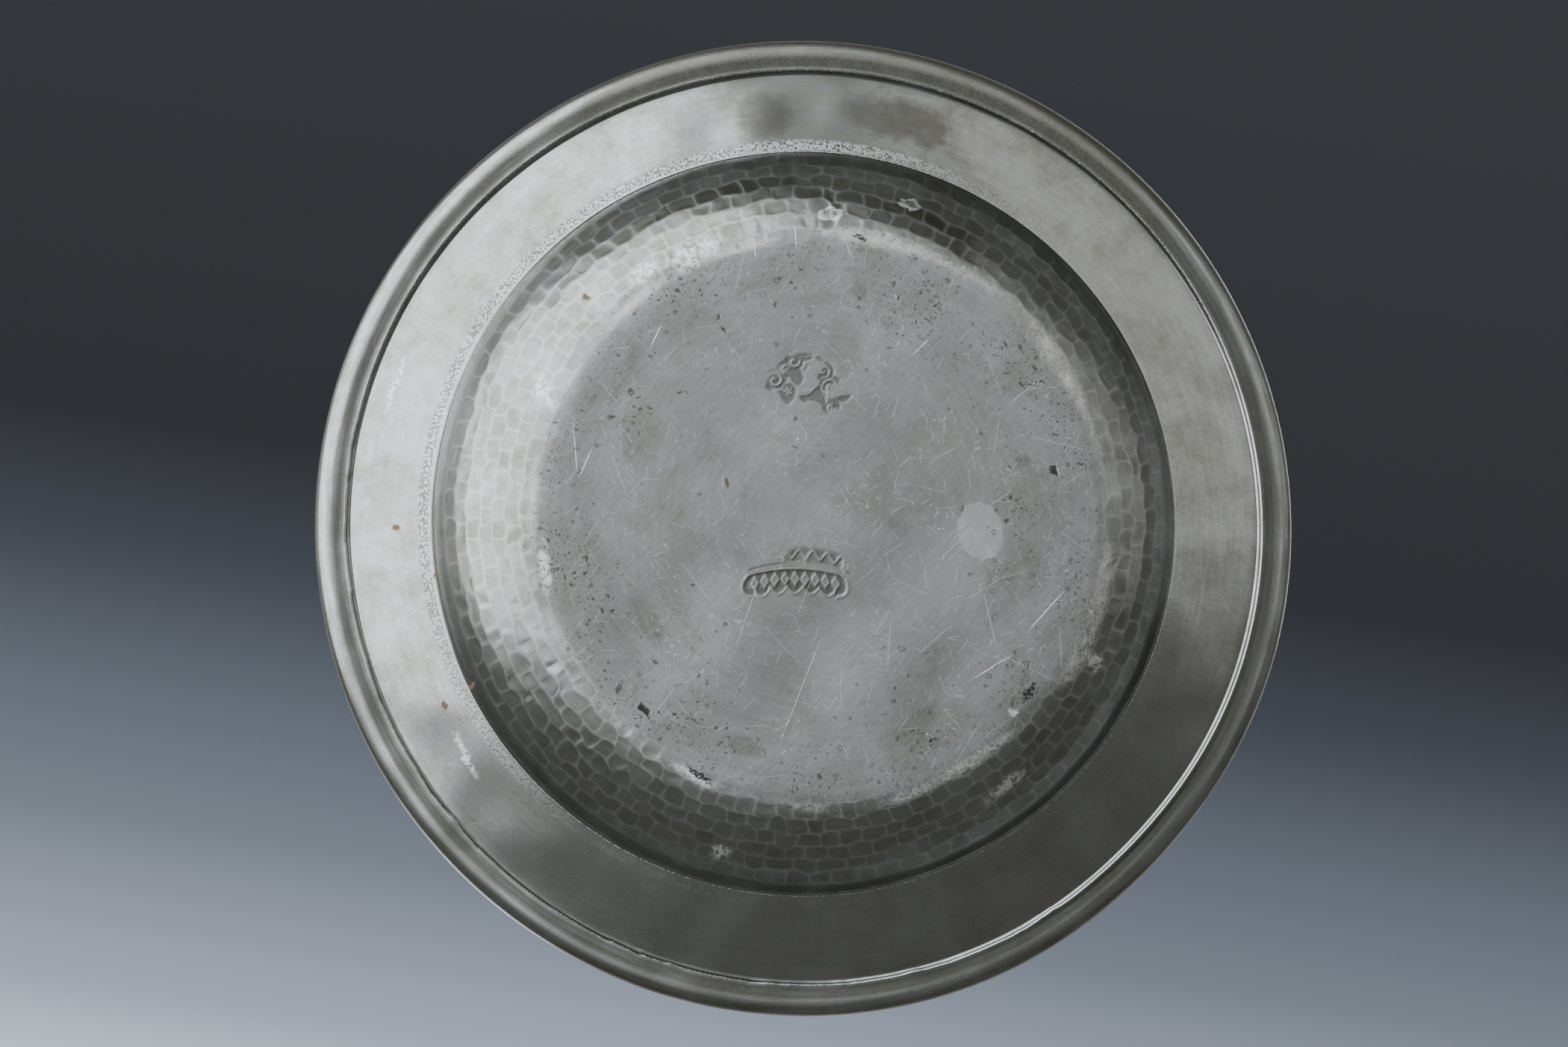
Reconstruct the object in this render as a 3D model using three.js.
// A cast pewter paten plate, 241 mm across, in one piece.
//
// The plate stands on its base with +Z up. The origin is the centre of the
// base's underside. Every size is in millimetres.
//
// The body is turned about Z: a flat base, a curved booge (the wall between
// base and rim), a wide plain rim, and a thicker band that stiffens the rim's
// edge from below.

import * as THREE from 'three';

// Driving dimensions
const PLATE_RADIUS = 120.5;
const BASE_RADIUS = 67;
const BOOGE_RADIUS = 91.4;
const BOOGE_END_ANGLE = THREE.MathUtils.degToRad(68);
const WALL = 1.7;

// The rim rises gently outwards, at the same slope above and below.
const RIM_RISE_ANGLE = THREE.MathUtils.degToRad(4.5);

// The band under the rim's edge: a step wall down to a nearly flat face,
// then a bevel up to the edge.
const STEP_FOOT_RADIUS = 112.3;
const STEP_WALL_WIDTH = 0.9;
const BAND_DEPTH = 1.6;
const BAND_FACE_WIDTH = 4.2;
const BEVEL_RISE = 1.5;
const EDGE_ROUND_RADIUS = 0.8;

// The drip line cut round the top of the rim, just inside the edge
const LINE_RADIUS = 114;
const LINE_WIDTH = 1.2;
const LINE_DEPTH = 0.4;

const TURN_STEPS = 96;
const BOOGE_STEPS = 9;
const EDGE_STEPS = 5;

const PEWTER = { color: 0x76777a, roughness: 0.46, metalness: 1 };

/** Points on an arc from one angle to another, both ends included. */
function arcPoints(centre, radius, fromAngle, toAngle, steps) {
  return Array.from({ length: steps + 1 }, (_, step) => {
    const angle = THREE.MathUtils.lerp(fromAngle, toAngle, step / steps);
    return new THREE.Vector2(
      centre.x + radius * Math.cos(angle),
      centre.y + radius * Math.sin(angle),
    );
  });
}

/** Height of the rim's underside at a radius: a cone about the plate's axis. */
function rimUndersideHeight(radius) {
  return BOOGE_HEIGHT + (radius - BOOGE_RADIUS) * Math.tan(RIM_RISE_ANGLE);
}

// The booge's underside is an arc that leaves the base tangentially and meets
// the rim at BOOGE_END_ANGLE, so its radius follows from its width.
const BOOGE_ARC_RADIUS = (BOOGE_RADIUS - BASE_RADIUS) / Math.sin(BOOGE_END_ANGLE);
const BOOGE_HEIGHT = BOOGE_ARC_RADIUS * (1 - Math.cos(BOOGE_END_ANGLE));
const BOOGE_CENTRE = new THREE.Vector2(BASE_RADIUS, BOOGE_ARC_RADIUS);

/** The underside, from the centre of the base to the foot of the edge. */
function undersideProfile() {
  const quarterTurn = Math.PI / 2;
  const booge = arcPoints(
    BOOGE_CENTRE,
    BOOGE_ARC_RADIUS,
    -quarterTurn,
    BOOGE_END_ANGLE - quarterTurn,
    BOOGE_STEPS,
  );
  const bandStart = STEP_FOOT_RADIUS + STEP_WALL_WIDTH;
  const bandEnd = bandStart + BAND_FACE_WIDTH;
  const bandHeight = rimUndersideHeight(STEP_FOOT_RADIUS) - BAND_DEPTH;
  return [
    new THREE.Vector2(0, 0),
    ...booge,
    new THREE.Vector2(STEP_FOOT_RADIUS, rimUndersideHeight(STEP_FOOT_RADIUS)),
    new THREE.Vector2(bandStart, bandHeight),
    new THREE.Vector2(bandEnd, bandHeight),
    new THREE.Vector2(PLATE_RADIUS - EDGE_ROUND_RADIUS / 2, bandHeight + BEVEL_RISE),
  ];
}

/** The rounded outer edge, from the bevel up to the rim's top face. */
function edgeProfile() {
  const topHeight = rimUndersideHeight(PLATE_RADIUS) + WALL;
  const centre = new THREE.Vector2(
    PLATE_RADIUS - EDGE_ROUND_RADIUS,
    topHeight - EDGE_ROUND_RADIUS,
  );
  return arcPoints(centre, EDGE_ROUND_RADIUS, 0, Math.PI / 2, EDGE_STEPS);
}

/** The top face, from the edge in to the centre of the well. */
function topProfile() {
  const topAt = (radius) => rimUndersideHeight(radius) + WALL;
  const lineOuter = LINE_RADIUS + LINE_WIDTH / 2;
  const lineInner = LINE_RADIUS - LINE_WIDTH / 2;
  const quarterTurn = Math.PI / 2;
  const wellWall = arcPoints(
    BOOGE_CENTRE,
    BOOGE_ARC_RADIUS - WALL,
    BOOGE_END_ANGLE - quarterTurn,
    -quarterTurn,
    BOOGE_STEPS,
  );
  return [
    new THREE.Vector2(lineOuter, topAt(lineOuter)),
    new THREE.Vector2(LINE_RADIUS, topAt(LINE_RADIUS) - LINE_DEPTH),
    new THREE.Vector2(lineInner, topAt(lineInner)),
    new THREE.Vector2(BOOGE_RADIUS + WALL, topAt(BOOGE_RADIUS + WALL)),
    new THREE.Vector2(BOOGE_RADIUS, topAt(BOOGE_RADIUS) - WALL / 4),
    ...wellWall,
    new THREE.Vector2(0, WALL),
  ];
}

/** The whole casting, turned about Z as one closed body. */
function makePlate() {
  const profile = [...undersideProfile(), ...edgeProfile(), ...topProfile()];
  const geometry = new THREE.LatheGeometry(profile, TURN_STEPS);
  // A lathe turns about Y, so the body is stood up onto Z.
  geometry.rotateX(Math.PI / 2);
  const mesh = new THREE.Mesh(geometry, new THREE.MeshStandardMaterial(PEWTER));
  mesh.name = 'plate';
  return mesh;
}

const patenPlate = new THREE.Group();
patenPlate.add(makePlate());

export default patenPlate;
